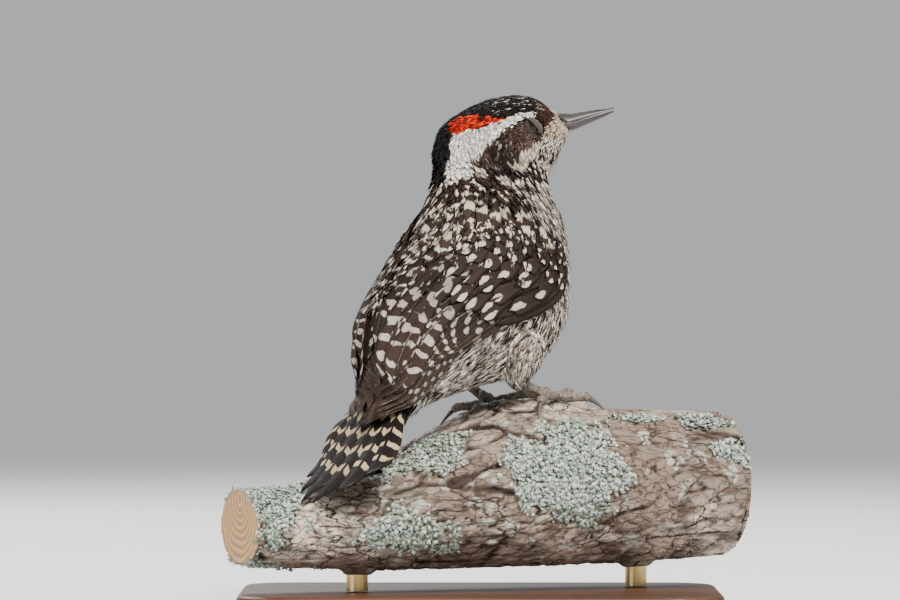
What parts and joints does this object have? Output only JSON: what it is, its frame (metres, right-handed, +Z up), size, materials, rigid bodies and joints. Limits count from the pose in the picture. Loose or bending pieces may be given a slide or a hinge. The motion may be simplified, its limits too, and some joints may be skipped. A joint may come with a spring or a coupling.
{
  "type": "checkered woodpecker model on a perch",
  "caption": "Life-size still woodpecker, upright on a cut length of lichened limb with its head turned in profile, on a flat base with short rods.",
  "frame": {"origin": "centre of the base's underside, on the surface that the stand rests on", "axes": "+Z up, +X the way that the turned head and bill point seen level, +Y away from the bird's right cheek"},
  "size_m": [0.1466, 0.0932, 0.1442],
  "materials": {
    "dark_plumage": "soft dark brown feathers with white spots and bars",
    "pale_plumage": "soft pale feathers with dark streaks",
    "crown_plumage": "short dark crown feathers with pale streaks and a red nape patch",
    "foot_skin": "scaly grey skin",
    "horn": "satin grey horn, darker towards the tip",
    "claw_horn": "satin dark horn",
    "eye": "wet gloss",
    "bark": "flaking bark with grey-green lichen",
    "base_wood": "oiled hardwood",
    "rod_metal": "brushed"
  },
  "bodies": {
    "root": {"head": "crown_plumage", "neck": "crown_plumage", "trunk": "pale_plumage", "thigh_left": "pale_plumage", "thigh_right": "pale_plumage", "wing_left": "dark_plumage", "wing_right": "dark_plumage", "tail": "dark_plumage", "bill_upper": "horn", "bill_lower": "horn", "eye_left": "eye", "eye_right": "eye", "tarsus_left": "foot_skin", "tarsus_right": "foot_skin", "toe_1_left": "foot_skin", "toe_2_left": "foot_skin", "toe_3_left": "foot_skin", "toe_4_left": "foot_skin", "toe_1_right": "foot_skin", "toe_2_right": "foot_skin", "toe_3_right": "foot_skin", "toe_4_right": "foot_skin", "claw_1_left": "claw_horn", "claw_2_left": "claw_horn", "claw_3_left": "claw_horn", "claw_4_left": "claw_horn", "claw_1_right": "claw_horn", "claw_2_right": "claw_horn", "claw_3_right": "claw_horn", "claw_4_right": "claw_horn", "branch": "bark", "stand_base": "base_wood", "stand_rod_front": "rod_metal", "stand_rod_back": "rod_metal"}
  },
  "joints": []
}
